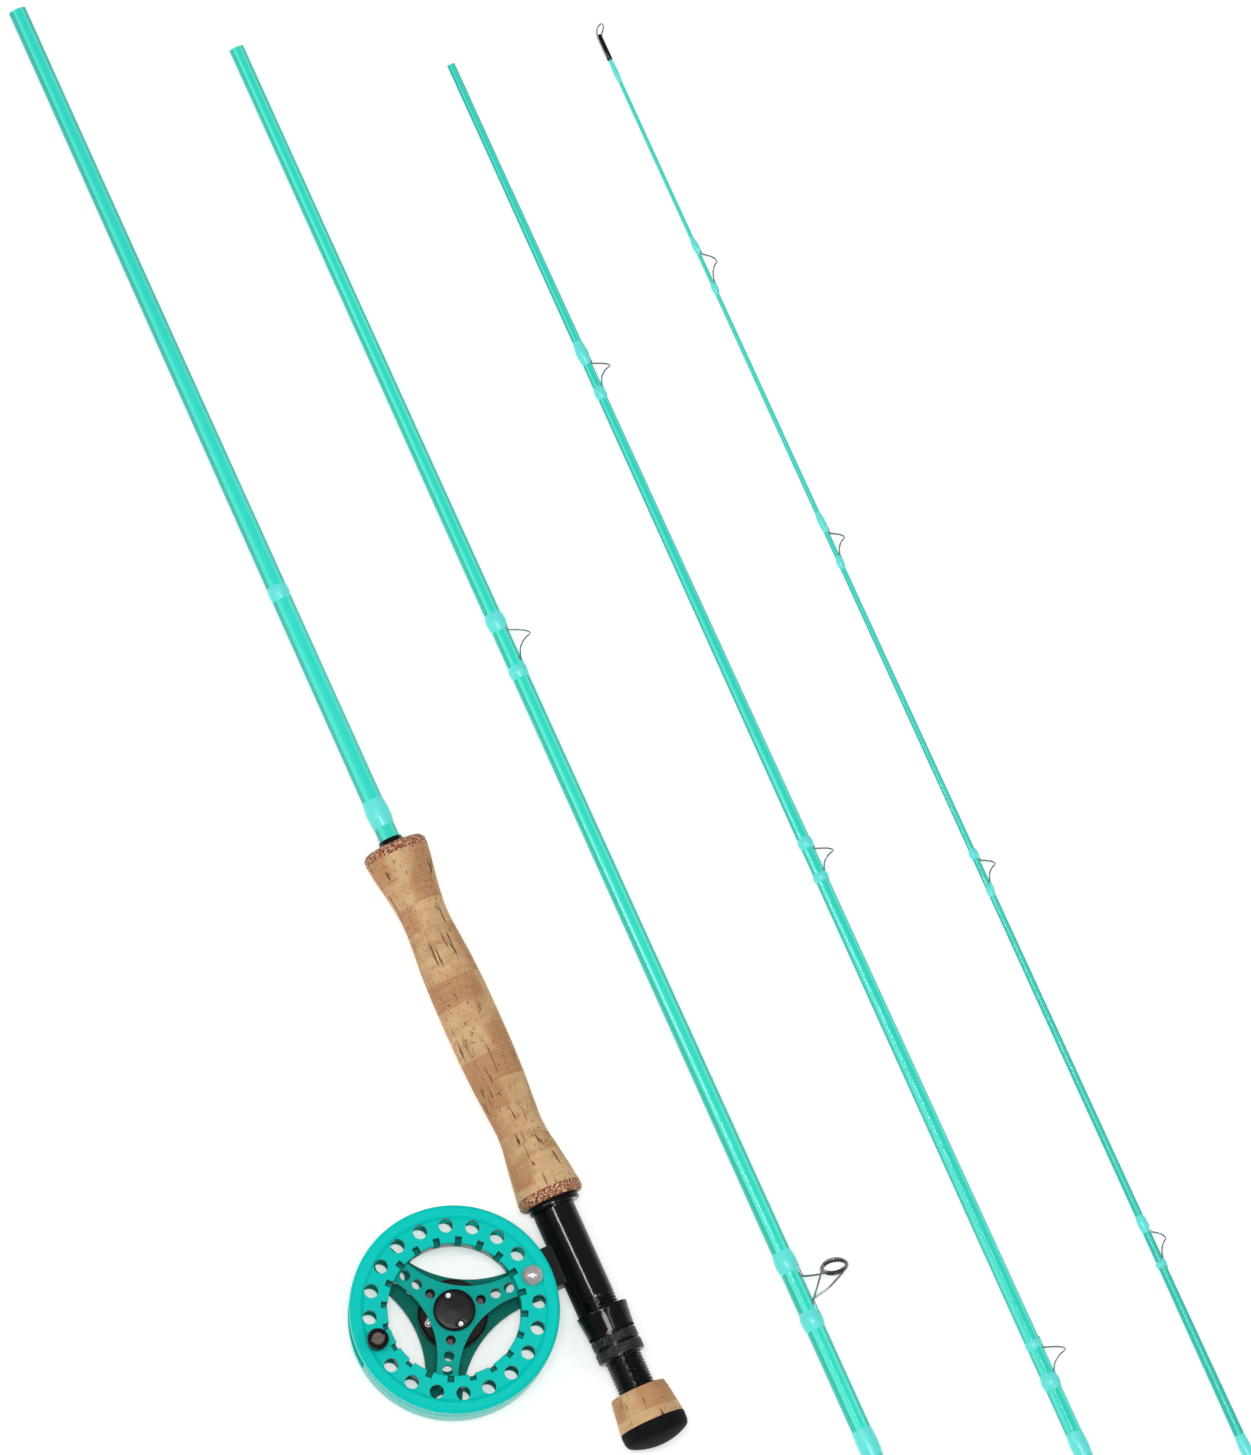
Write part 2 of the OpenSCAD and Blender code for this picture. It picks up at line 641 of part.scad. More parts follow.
module drag_housing() {
    color(BLACK) difference() {
        translate([0, 0, hub_top_z + 0.05]) {
            cylinder(r = housing_r, h = 7);
            translate([0, 0, 7]) cylinder(r1 = housing_r, r2 = housing_r - 1, h = housing_top_z - hub_top_z - 7.05);
        }
        cylinder(r = housing_bore_r, h = housing_top_z - 1.4);
        cylinder(r = sleeve_r + 0.5, h = 30);
        ring(14, 14.35, housing_top_z - 0.35, 2);
        round_z([0, 120, 240], drag_screw_r) {
            cylinder(r = 0.95, h = 30);
            translate([0, 0, housing_top_z - 1]) cylinder(r = 1.6, h = 2);
        }
        translate([pawl_pin_at[0], pawl_pin_at[1], housing_top_z - 1.2]) cylinder(r = 0.82, h = 3);
    }
}
module drag_housing_screws() {
    color(STEEL) round_z([0, 120, 240], drag_screw_r) difference() {
        union() {
            translate([0, 0, hub_top_z - 2.8]) cylinder(r = 0.9, h = housing_top_z - hub_top_z + 2);
            translate([0, 0, housing_top_z - 0.95]) cylinder(r = 1.5, h = 0.9);
        }
        translate([0, 0, housing_top_z - 0.5]) cylinder(r = 0.75, h = 1, $fn = 6);
    }
}
module drag_washers() {
    color("#3a3b3d") for (z = [hub_top_z + 0.1, hub_top_z + 2.3]) ring(sleeve_r + 0.35, 10.5, z, 0.8);
}
module drag_rotor() {
    color(STEEL) ring(sleeve_r + skin, 10.6, hub_top_z + 1, 1.2);
}
module pressure_plate() {
    color(STEEL) ring(sleeve_r + 0.35, 10.6, hub_top_z + 3.15, 1.5);
}
module drag_springs() {
    color(STEEL) rotate_extrude() {
        polygon([[2.8, 4.75], [4.5, 5.2], [4.5, 5.45], [2.8, 5]]);
        polygon([[2.8, 6.05], [4.5, 5.55], [4.5, 5.8], [2.8, 6.3]]);
    }
}
module drag_nut() {
    color("#c9a54e") translate([0, 0, 1.8]) difference() {
        cylinder(r = 5.25, h = 2.2, $fn = 6);
        translate([0, 0, -1]) cylinder(r = tail_r + run, h = 5);
    }
}
module drag_knob() {
    color(BLACK) difference() {
        union() {
            cylinder(r1 = drag_knob_d / 2 - 0.8, r2 = drag_knob_d / 2, h = 0.8);
            translate([0, 0, 0.8]) cylinder(r = drag_knob_d / 2, h = knob_top_z - 0.8);
        }
        round_z([for (k = [0 : 11]) 30 * k], drag_knob_d / 2 + 1.6) translate([0, 0, -1])
            cylinder(r = 2.6, h = 10);
        translate([0, 0, -1]) cylinder(r = 3.1, h = 1.95);
        translate([0, 0, -1]) cylinder(r = 2.05, h = 10);
        translate([0, 0, 1.6]) cylinder(r = 5.43, h = 10, $fn = 6);
    }
}
module drag_knob_screw() {
    color(STEEL) difference() {
        union() {
            cylinder(r = 2.9, h = 0.9);
            translate([0, 0, 0.5]) cylinder(r = 1, h = 4);
        }
        round_z([0, 180], 1.8) translate([0, 0, -1]) cylinder(r = 0.45, h = 1.5);
    }
}
module clutch_sleeve() {
    color(STEEL) difference() {
        union() {
            translate([0, 0, 11.5]) cylinder(r = sleeve_r, h = gear_z + gear_t - 11.5);
            translate([0, 0, gear_z]) cylinder(r = 6.2, h = 24 - gear_z, $fn = 6);
        }
        cylinder(r = spindle_r + run, h = 30);
    }
}
module click_gear() {
    color(STEEL) translate([0, 0, gear_z]) difference() {
        linear_extrude(gear_t) polygon([
            for (k = [0 : 2 * click_teeth - 1]) let (r = k % 2 == 0 ? 9 : 8.2, a = 5 + 180 * k / click_teeth)
                r * [cos(a), sin(a)]
        ]);
        translate([0, 0, -1]) cylinder(r = sleeve_r + skin, h = 4);
    }
}
// The pawl's tip lies in a gap of the click gear, 150 degrees round from the reel foot
module click_pawl() {
    tip = 8.65 * [cos(150), sin(150)];
    elbow = 11.2 * [cos(150), sin(150)];
    color(STEEL) translate([0, 0, gear_z]) difference() {
        linear_extrude(1.2) {
            bar_2d(tip, elbow, 0.5);
            bar_2d(elbow, pawl_pin_at, 1.4);
            translate(pawl_pin_at) circle(r = 1.6);
        }
        translate([pawl_pin_at[0], pawl_pin_at[1], -1]) cylinder(r = 0.8 + run, h = 4);
    }
}
module pawl_pin() {
    color(STEEL) translate([pawl_pin_at[0], pawl_pin_at[1], housing_top_z - 1.1]) cylinder(r = 0.8, h = 3.9);
}
module pawl_spring() {
    turns = 2;
    coil_r = 1.15;
    wire_r = 0.16;
    steps = 14 * turns;
    coil = [
        for (i = [0 : steps]) let (a = 360 * turns * i / steps)
            [coil_r * cos(a), coil_r * sin(a), 20.35 + 0.4 * turns * i / steps]
    ];
    color(STEEL) translate([pawl_pin_at[0], pawl_pin_at[1], 0])
        wire(concat([[coil_r, -3.2, 20.3]], coil, [[coil_r, 3, 21.15]]), wire_r);
}

// ---------- spool and handle ----------

module spool() {
    rim_top = face_z + rim_rise;
    places = [for (k = [0 : face_places - 1]) 360 * k / face_places];
    color(TEAL) difference() {
        union() {
            rotate_extrude($fn = 180) polygon([
                [opening_r, 20], [opening_r, face_z - 0.4], [opening_r + 0.4, face_z], [rim_in_r - 0.6, face_z],
                [rim_in_r + 0.4, rim_top - 0.2], [rim_in_r + 1.2, rim_top], [rim_r - 1.4, rim_top],
                [rim_r - 0.4, rim_top - 0.5], [rim_r, rim_top - 1.4], [rim_r, rim_z], [rim_in_r + 1.2, rim_z],
                [rim_in_r + 0.6, face_z - face_t], [drum_r, face_z - face_t],
                [drum_r, back_flange_z + flange_t], [back_flange_r, back_flange_z + flange_t],
                [back_flange_r, back_flange_z], [drum_r - 1.3, back_flange_z], [drum_r - 1.3, 20]
            ]);
            translate([0, 0, star_z]) linear_extrude(star_t) star_2d(opening_r + 1, 11.8, 39.5);
            translate([0, 0, 20.9]) cylinder(r = 10.7, h = star_z + star_t - 20.9);
        }
        for (k = [1 : face_places - 1]) if (k != face_places / 2)
            rotate([0, 0, places[k]]) translate([hole_circle_r, 0, face_z - 5]) cylinder(d = hole_d, h = 10);
        round_z(places, hole_circle_r) translate([0, 0, 5]) cylinder(r = 4, h = 10);
        for (a = places) rotate([0, 0, a + 180 / face_places]) translate([opening_r - 0.6, -notch_w / 2, 22.4])
            cube([notch_r - opening_r + 0.6, notch_w, 20]);
        for (r = [13.3, 20.6, 27.2]) round_z([0, 120, 240], r) translate([0, 0, 15])
            cylinder(r = r < 15 ? arm_hole_r : arm_hole_r + 0.1, h = 15);
        cylinder(r = 8 + skin, h = 40);
        round_z([0, 180], hole_circle_r) translate([0, 0, 15]) cylinder(r = 1.93, h = 20);
    }
}
module hub_insert() {
    color(STEEL) difference() {
        union() {
            translate([0, 0, 20.9]) cylinder(r = 8, h = 5);
            translate([0, 0, star_z + star_t + 0.02]) cylinder(r = insert_r - 0.3, h = 1.4);
            translate([0, 0, star_z + star_t + 0.3]) cylinder(r = insert_r, h = 1.2);
        }
        translate([0, 0, 20]) cylinder(r = 6.38, h = 4.3, $fn = 6);
        cylinder(r = 5.2, h = 30);
        translate([0, 0, 24.35]) cylinder(r = 5.8, h = 10);
        round_z([90, 270], 7) translate([0, 0, star_z + star_t + 0.1]) cylinder(r = 0.87, h = 5);
    }
}
module spool_bearing() {
    z = 24.4;
    t = 2.1;
    color(STEEL) translate([0, 0, z]) {
        difference() {
            union() {
                ring(4.95, 5.77, 0, t);
                ring(spindle_r + run, 3.9, 0, t);
            }
            translate([0, 0, t / 2]) rotate_extrude() translate([4.43, 0]) circle(r = 0.78, $fn = 24);
        }
        round_z([for (k = [0 : 7]) 45 * k], 4.43) translate([0, 0, t / 2]) sphere(r = 0.72, $fn = 24);
    }
}
module latch_clip() {
    color(STEEL) translate([0, 0, 26.95]) rotate([0, 0, 30])
        rotate_extrude(angle = 300) translate([spindle_r + run, 0]) square([1.2, 0.6]);
}
module hub_cap() {
    cap_r = hub_cap_d / 2;
    color(BLACK) difference() {
        rotate_extrude($fn = 96) polygon([
            [0, 26.7], [cap_r, 26.7], [cap_r, 28.2], [cap_r - 0.6, 28.8], [cap_r - 1.6, 29], [0, 29.3]
        ]);
        translate([0, 0, 20]) cylinder(r = 4.6, h = 8.25);
        round_z([90, 270], 7) {
            cylinder(r = 0.87, h = 40);
            translate([0, 0, 28]) cylinder(r = 1.85, h = 3);
        }
    }
}
module hub_cap_screws() {
    color(STEEL) round_z([90, 270], 7) difference() {
        union() {
            translate([0, 0, 25.2]) cylinder(r = 0.84, h = 3.2);
            translate([0, 0, 28.02]) cylinder(r = 1.5, h = 0.7);
            translate([0, 0, 28.72]) cylinder(r1 = 1.5, r2 = 1.1, h = 0.4);
        }
        translate([0, 0, 28.3]) cylinder(r = 0.75, h = 2, $fn = 6);
    }
}
module counterweight() {
    r = 4.8;
    h = 3.4;
    base_z = face_z + rim_rise + 0.2;
    ball = (r * r + h * h) / (2 * h);
    steps = 10;
    color(STEEL) translate([hole_circle_r, 0, 0]) rotate_extrude() polygon([
        [0, face_z - 3.4], [1.9, face_z - 3.4], [1.9, face_z + skin], [2.6, face_z + skin],
        [2.6, base_z - 0.1], [r - 0.3, base_z], [r, base_z + 0.3],
        for (i = [steps - 1 : -1 : 0]) let (q = r * i / steps)
            [q, base_z + 0.3 + h - ball + sqrt(ball * ball - q * q)]
    ]);
}
handle_foot_z = face_z + 0.5;
handle_h = 12;
module handle_knob() {
    color(BLACK) translate([-hole_circle_r, 0, handle_foot_z]) rotate_extrude() polygon([
        [2.28, 0], [2.6, 0], [2.6, 1.1], [3.8, 1.3], [4.1, 1.7], [4, 3.2], [4.3, 5.8], [4.75, 8.6],
        [4.9, 10.4], [4.5, 11.5],
        [3.7, handle_h], [3.5, handle_h], [3.5, handle_h - 1.4], [2.28, handle_h - 1.4]
    ]);
}
module handle_post() {
    top_z = handle_foot_z + handle_h - 1.3;
    color(STEEL) translate([-hole_circle_r, 0, 0]) difference() {
        union() {
            translate([0, 0, face_z - 3.4]) cylinder(r = 1.9, h = 6);
            translate([0, 0, face_z + skin]) cylinder(r = 2.2, h = top_z - face_z - skin);
        }
        translate([0, 0, top_z - 6]) cylinder(r = 1.03, h = 7);
    }
}
module handle_screw() {
    head_z = handle_foot_z + handle_h - 1.25;
    color(STEEL) translate([-hole_circle_r, 0, head_z]) difference() {
        union() {
            translate([0, 0, -5]) cylinder(r = 1, h = 5.5);
            cylinder(r = 3.3, h = 0.8);
            translate([0, 0, 0.8]) cylinder(r1 = 3.3, r2 = 2.6, h = 0.4);
        }
        translate([-4, -0.45, 0.5]) cube([8, 0.9, 2]);
    }
}

butt_blank();
butt_wraps();
winding_check();
grip_front_ring();
grip_cork();
grip_rear_ring();
fixed_hood();
seat_tube();
seat_arbors();
sliding_hood();
lock_nut_front();
lock_nut_rear();
fighting_butt();
butt_cap();
reel_foot();
foot_screws();
reel_frame();
spindle();
drag_housing();
drag_housing_screws();
drag_washers();
drag_rotor();
pressure_plate();
drag_springs();
drag_nut();
drag_knob();
drag_knob_screw();
clutch_sleeve();
click_gear();
click_pawl();
pawl_pin();
pawl_spring();
spool();
hub_insert();
spool_bearing();
latch_clip();
hub_cap();
hub_cap_screws();
counterweight();
handle_post();
handle_knob();
handle_screw();
blank_2();
wraps_2();
stripping_frame();
stripping_ring();
snake_guide_1();
blank_3();
wraps_3();
snake_guide_2();
snake_guide_3();
snake_guide_4();
blank_4();
wraps_4();
tip_top_tube();
tip_top_loop();
snake_guide_5();
snake_guide_6();
snake_guide_7();
snake_guide_8();
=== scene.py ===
import json
import math
import bpy
from mathutils import Vector, Matrix


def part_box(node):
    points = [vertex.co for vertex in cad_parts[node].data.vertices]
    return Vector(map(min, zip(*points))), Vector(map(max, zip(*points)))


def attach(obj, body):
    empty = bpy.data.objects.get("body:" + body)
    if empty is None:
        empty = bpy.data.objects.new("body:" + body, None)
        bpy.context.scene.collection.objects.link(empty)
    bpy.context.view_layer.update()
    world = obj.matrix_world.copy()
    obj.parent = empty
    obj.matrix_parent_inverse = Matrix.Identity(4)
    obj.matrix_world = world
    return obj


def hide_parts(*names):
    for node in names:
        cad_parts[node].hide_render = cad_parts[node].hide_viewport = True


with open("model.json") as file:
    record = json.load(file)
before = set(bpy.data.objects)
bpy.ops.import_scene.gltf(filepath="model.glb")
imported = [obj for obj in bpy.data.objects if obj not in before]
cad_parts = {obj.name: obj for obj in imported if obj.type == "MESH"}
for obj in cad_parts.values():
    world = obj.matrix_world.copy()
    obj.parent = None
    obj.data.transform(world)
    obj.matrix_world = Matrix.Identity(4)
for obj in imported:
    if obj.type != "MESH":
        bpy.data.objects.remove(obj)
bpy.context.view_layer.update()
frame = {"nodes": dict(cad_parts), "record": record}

nodes = frame["nodes"]
record = frame["record"]
scene = bpy.context.scene
MM = 0.001
TURN = 2 * math.pi


# ---------------------------------------------------------------- positions

def box(name):
    lo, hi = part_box(name)
    return Vector(lo), Vector(hi)


def axis_of(name):
    """x and z of a straight piece's axis, from its box."""
    lo, hi = box(name)
    return (lo.x + hi.x) / 2, (lo.z + hi.z) / 2


SEAT_X, SEAT_Z = axis_of("butt_cap")


def blank_radius(blank, y):
    """Radius of a blank's mesh between the two rows of vertices on either side of y.

    A row that belongs to the bore alone gives the bore's radius, so the result can be too small.
    """
    x, z = axis_of("butt_cap" if blank == "butt_blank" else blank)
    near = {}
    for v in nodes[blank].data.vertices:
        key = round(v.co.y, 4)
        near[key] = max(near.get(key, 0), math.hypot(v.co.x - x, v.co.z - z))
    ys = sorted(near)
    below = max((k for k in ys if k <= y), default=ys[0])
    above = min((k for k in ys if k >= y), default=ys[-1])
    if above == below:
        return near[below]
    t = (y - below) / (above - below)
    return near[below] * (1 - t) + near[above] * t


# ---------------------------------------------------------------- materials

def lin(r, g, b):
    """sRGB 0-255 to the linear colour that a shader takes."""
    out = []
    for v in (r, g, b):
        v = v / 255
        out.append(v / 12.92 if v <= 0.04045 else ((v + 0.055) / 1.055) ** 2.4)
    return (*out, 1.0)


def scaled(color, factor, lift=0.0):
    """A colour made lighter or darker by a factor."""
    return tuple(min(c * factor + lift, 1) for c in color[:3]) + (1.0,)


class Mat:
    """A material with its node tree at hand."""

    def __init__(self, name, color, rough=0.4, metal=0.0, coat=0.0, coat_rough=0.05, ior=1.5, spec=0.5):
        self.m = bpy.data.materials.new(name)
        self.m.use_nodes = True
        self.t = self.m.node_tree
        self.b = self.t.nodes["Principled BSDF"]
        self.set("Base Color", color)
        self.set("Roughness", rough)
        self.set("Metallic", metal)
        self.set("Coat Weight", coat)
        self.set("Coat Roughness", coat_rough)
        self.set("IOR", ior)
        self.set("Specular IOR Level", spec)

    def set(self, socket, value):
        self.b.inputs[socket].default_value = value

    def node(self, kind, **inputs):
        n = self.t.nodes.new(kind)
        for k, v in inputs.items():
            n.inputs[k.replace("_", " ")].default_value = v
        return n

    def link(self, a, b):
        self.t.links.new(a, b)

    def feed(self, value, socket):
        """Link a socket, or set a plain value."""
        if hasattr(value, "is_linked"):
            self.link(value, socket)
        else:
            socket.default_value = value

    def coords(self, scale=(1, 1, 1), loc=(0, 0, 0)):
        c = self.node("ShaderNodeTexCoord")
        m = self.node("ShaderNodeMapping")
        m.inputs["Scale"].default_value = scale
        m.inputs["Location"].default_value = loc
        self.link(c.outputs["Object"], m.inputs["Vector"])
        return m.outputs["Vector"]

    def split(self, vec):
        """The x, y and z of a vector."""
        n = self.node("ShaderNodeSeparateXYZ")
        self.link(vec, n.inputs["Vector"])
        return n.outputs["X"], n.outputs["Y"], n.outputs["Z"]

    def noise(self, vec, scale, detail=3.0, rough=0.5, distort=0.0):
        n = self.node("ShaderNodeTexNoise", Scale=scale, Detail=detail, Roughness=rough, Distortion=distort)
        self.link(vec, n.inputs["Vector"])
        return n.outputs["Fac"]

    def ramp(self, fac, *stops):
        r = self.node("ShaderNodeValToRGB")
        e = r.color_ramp.elements
        while len(e) < len(stops):
            e.new(0.5)
        for k, (p, c) in enumerate(stops):
            e[k].position = p
            e[k].color = c
        self.link(fac, r.inputs["Fac"])
        return r.outputs["Color"]

    def mask(self, fac, low, high, top=1.0):
        """0 where fac is below low, rising to top where it is above high."""
        return self.ramp(fac, (low, (0, 0, 0, 1)), (high, (top, top, top, 1)))

    def mix(self, fac, a, b, mode="MIX"):
        n = self.t.nodes.new("ShaderNodeMix")
        n.data_type = "RGBA"
        n.blend_type = mode
        for value, i in ((fac, 0), (a, 6), (b, 7)):
            self.feed(value, n.inputs[i])
        return n.outputs[2]

    def bump(self, height, strength, dist):
        n = self.node("ShaderNodeBump", Strength=strength, Distance=dist)
        self.link(height, n.inputs["Height"])
        if self.b.inputs["Normal"].is_linked:
            self.link(self.b.inputs["Normal"].links[0].from_socket, n.inputs["Normal"])
        self.link(n.outputs["Normal"], self.b.inputs["Normal"])

    def maths(self, kind, a, b=0.0):
        n = self.t.nodes.new("ShaderNodeMath")
        n.operation = kind
        for i, value in enumerate((a, b)):
            self.feed(value, n.inputs[i])
        return n.outputs[0]

    def color(self, socket):
        self.link(socket, self.b.inputs["Base Color"])


def blank_material(name, x, taper, lit, pale, painted_edge_shade):
    """Glossy tinted fibreglass tube: even colour in the middle, a painted highlight band on each side,
    painted shade at the edges.
    """
    m = Mat(name, lit, rough=0.36, coat=0.55, coat_rough=0.09, spec=0.12)
    here_x, here_y, _ = m.split(m.coords())
    off = m.maths("SUBTRACT", here_x, x)
    (ya, ra), (yb, rb) = taper
    slope = (rb - ra) / (yb - ya)
    radius = m.maths("ADD", m.maths("MULTIPLY", here_y, slope), ra - slope * ya)
    share = m.maths("DIVIDE", m.maths("ABSOLUTE", off), radius)
    # painted light: the paler bands are a painted highlight, the darker edges are painted shade
    shade = m.ramp(share, (0.0, lit), (0.30, lit), (0.50, pale), (0.72, pale), (0.88, painted_edge_shade), (1.0, painted_edge_shade))
    cloud = m.noise(m.coords((60, 5, 60)), 1.0)
    # random clouds towards the edge colour
    m.color(m.mix(m.mask(cloud, 0.35, 0.7, 0.2), shade, painted_edge_shade))
    m.bump(m.noise(m.coords((700, 90, 700)), 1.0), 0.05, 0.0002)
    return m.m


def wrap_material(name, body, pale):
    """Pale thread wound round the rod under clear epoxy, thinning out at both ends."""
    m = Mat(name, pale, rough=0.34, coat=0.35, coat_rough=0.2, spec=0.2)
    w = m.node("ShaderNodeTexWave", Scale=620.0, Distortion=0.8, Detail=1.0)
    w.bands_direction = "Y"
    m.link(m.coords(), w.inputs["Vector"])
    thread = m.mix(m.maths("MULTIPLY", w.outputs["Fac"], 0.16), pale, body)
    tone = m.noise(m.coords((260, 500, 260)), 1.0)
    thread = m.mix(m.mask(tone, 0.35, 0.8, 0.22), thread, body)
    fade = m.node("ShaderNodeAttribute")
    fade.attribute_name = "fade"
    m.color(m.mix(fade.outputs["Fac"], body, thread))
    m.bump(w.outputs["Fac"], 0.1, 0.0001)
    return m.m


CORK_RING = 0.0127   # height of one of the glued cork rings


def cork_material(name):
    """Natural cork: glued rings, flat-grained patches that stop at the joints, long dark pits."""
    m = Mat(name, lin(222, 178, 128), rough=0.66, spec=0.25)
    here_x, here_y, here_z = m.split(m.coords())
    ring_no = m.maths("FLOOR", m.maths("MULTIPLY", here_y, 1 / CORK_RING))
    white = m.node("ShaderNodeTexWhiteNoise")
    white.noise_dimensions = "1D"
    m.link(ring_no, white.inputs["W"])
    tone = m.ramp(white.outputs["Value"], (0.0, lin(194, 148, 102)), (0.5, lin(207, 163, 116)),
                  (1.0, lin(220, 180, 132)))
    # flat-grained patches, drawn anew in each ring
    place = m.node("ShaderNodeCombineXYZ")
    m.link(m.maths("MULTIPLY", here_x, 48.0), place.inputs["X"])
    m.link(m.maths("MULTIPLY", ring_no, 5.37), place.inputs["Y"])
    m.link(m.maths("MULTIPLY", here_z, 48.0), place.inputs["Z"])
    patch = m.mask(m.noise(place.outputs["Vector"], 1.0, 0.0), 0.50, 0.56, 0.8)
    lines = m.noise(m.coords((60, 1400, 60)), 1.0, 3.0, 0.5, 0.2)
    flat = m.mix(m.mask(lines, 0.35, 0.65), lin(184, 126, 84), lin(205, 152, 108))
    grain = m.noise(m.coords((420, 900, 420)), 0.25, 6.0, 0.62, 0.4)
    rough_cork = m.mix(m.mask(grain, 0.35, 0.65, 0.75), tone, lin(232, 196, 146))
    base = m.mix(patch, rough_cork, flat)
    cloud = m.noise(m.coords((50, 34, 50)), 1.3, 4.0, 0.6)
    base = m.mix(m.mask(cloud, 0.45, 0.65, 0.38), base, lin(178, 122, 78))
    # long pits anywhere, small specks in some places only
    long_pits = m.mask(m.noise(m.coords((620, 40, 620)), 0.7, 5.0, 0.68, 0.5), 0.60, 0.64)
    specks = m.mask(m.noise(m.coords((900, 620, 900), (3, 1, 2)), 0.9, 3.0, 0.6), 0.61, 0.68, 0.75)
    where = m.mask(m.noise(m.coords((60, 22, 60), (7, 2, 5)), 1.0, 2.0), 0.44, 0.58)
    pits = m.mix(1.0, long_pits, m.mix(1.0, specks, where, "MULTIPLY"), "LIGHTEN")
    m.color(m.mix(pits, base, lin(112, 68, 38)))
    m.bump(grain, 0.12, 0.0006)
    inverted = m.node("ShaderNodeInvert")
    m.link(pits, inverted.inputs["Color"])
    m.bump(inverted.outputs["Color"], 0.6, 0.0006)
    return m.m


def burl_material(name):
    """Composite cork: dark red-brown granules with pale crumbs between them."""
    m = Mat(name, lin(130, 66, 40), rough=0.55, spec=0.3)
    v = m.node("ShaderNodeTexVoronoi", Scale=1900.0, Randomness=1.0)
    m.link(m.coords(), v.inputs["Vector"])
    m.color(m.ramp(v.outputs["Color"], (0.2, lin(96, 44, 26)), (0.42, lin(150, 78, 46)),
                   (0.6, lin(186, 116, 76)), (0.8, lin(244, 208, 170))))
    m.bump(v.outputs["Distance"], 0.35, 0.0004)
    return m.m


def metal_material(name, color, rough=0.3, grain=(1, 1, 1), amount=0.08, metal=1.0):
    """Turned or brushed metal: grain in both tone and roughness."""
    m = Mat(name, color, rough=rough, metal=metal)
    n = m.noise(m.coords(grain), 1.0, 4.0)
    m.color(m.ramp(n, (0.3, scaled(color, 0.82)), (0.7, color)))
    r = m.node("ShaderNodeMapRange")
    r.inputs["To Min"].default_value = max(rough - amount, 0.05)
    r.inputs["To Max"].default_value = rough + amount
    m.link(n, r.inputs["Value"])
    m.link(r.outputs["Result"], m.b.inputs["Roughness"])
    return m.m


def coated_material(name, color, rough=0.3, coat=0.0, grain=600.0, spread=0.05, bump=0.04, spec=0.5):
    """Anodised or moulded surface with a fine even tooth."""
    m = Mat(name, color, rough=rough, coat=coat, coat_rough=0.1, spec=spec)
    n = m.noise(m.coords(), grain)
    m.color(m.ramp(n, (0.3, scaled(color, 1 - spread)), (0.7, scaled(color, 1 + spread, 0.002))))
    m.bump(n, bump, 0.0001)
    return m.m


def anodised_reel(name, face, inner, painted_wall_shade, inner_r, floor_z=0.0, star=None):
    """Anodised aluminium turned about the spool's axis.

    The inner tone, painted shade for the recess, holds inside inner_r. Drilled walls there, and all that is
    below floor_z, take the wall tone, painted shade of walls and hollows.
    star is (height, radius, tone) of the arms that lie below the face; their tone is painted shade.
    """
    m = Mat(name, face, rough=0.24, spec=0.08)
    here_x, here_y, here_z = m.split(m.coords())
    r = m.maths("SQRT", m.maths("ADD", m.maths("POWER", here_x, 2.0), m.maths("POWER", here_y, 2.0)))
    geo = m.node("ShaderNodeNewGeometry")
    _, _, facing_up = m.split(geo.outputs["True Normal"])
    upright = m.maths("LESS_THAN", m.maths("ABSOLUTE", facing_up), 0.5)
    within = m.maths("LESS_THAN", r, inner_r)
    tone = m.mix(within, face, inner)
    # painted shade: the inner tone inside inner_r
    if star:
        height, radius, painted_arm_shade = star
        low = m.maths("LESS_THAN", here_z, height)
        # painted shade: the recessed arms take a darker tone
        tone = m.mix(m.maths("MULTIPLY", low, m.maths("LESS_THAN", r, radius)), tone, painted_arm_shade)
    # painted shade: walls, and all that is low inside inner_r
    tone = m.mix(m.maths("MULTIPLY", within, m.maths("LESS_THAN", here_z, floor_z)), tone, painted_wall_shade)
    tone = m.mix(m.maths("MULTIPLY", upright, within), tone, painted_wall_shade)
    fine = m.noise(m.coords(), 900.0)
    m.color(m.mix(m.maths("MULTIPLY", fine, 0.05), tone, painted_wall_shade))
    m.bump(fine, 0.04, 0.0001)
    return m.m


# The middle, the painted highlight bands beside it and the painted shade at the edges of each blank
BLANK_TONE_AND_PAINTED_LIGHT = {
    "butt_blank": (lin(48, 236, 212), lin(90, 250, 230), lin(46, 194, 176)),
    "blank_2": (lin(44, 238, 208), lin(106, 255, 236), lin(48, 206, 182)),
    "blank_3": (lin(46, 226, 202), lin(94, 248, 228), lin(44, 190, 172)),
    "blank_4": (lin(58, 226, 204), lin(96, 244, 228), lin(54, 200, 180)),
}
WRAPS_OF = {"butt_blank": "butt_wraps", "blank_2": "wraps_2", "blank_3": "wraps_3", "blank_4": "wraps_4"}
PALE_THREAD = lin(116, 244, 238)
BLANKS = {}
WRAPS = {}
for blank, wraps in WRAPS_OF.items():
    lo, hi = box(blank)
    tones_and_painted_light = BLANK_TONE_AND_PAINTED_LIGHT[blank]
    ends = [hi.y - 0.45 * min(hi.y - lo.y, 0.8), hi.y - 0.02]
    taper = [(y, blank_radius(blank, y)) for y in ends]
    BLANKS[blank] = blank_material(blank + "_fibreglass", (lo.x + hi.x) / 2, taper, *tones_and_painted_light)
    WRAPS[wraps] = wrap_material(wraps + "_thread", tones_and_painted_light[0], PALE_THREAD)

CORK = cork_material("cork")
BURL = burl_material("burl_cork")
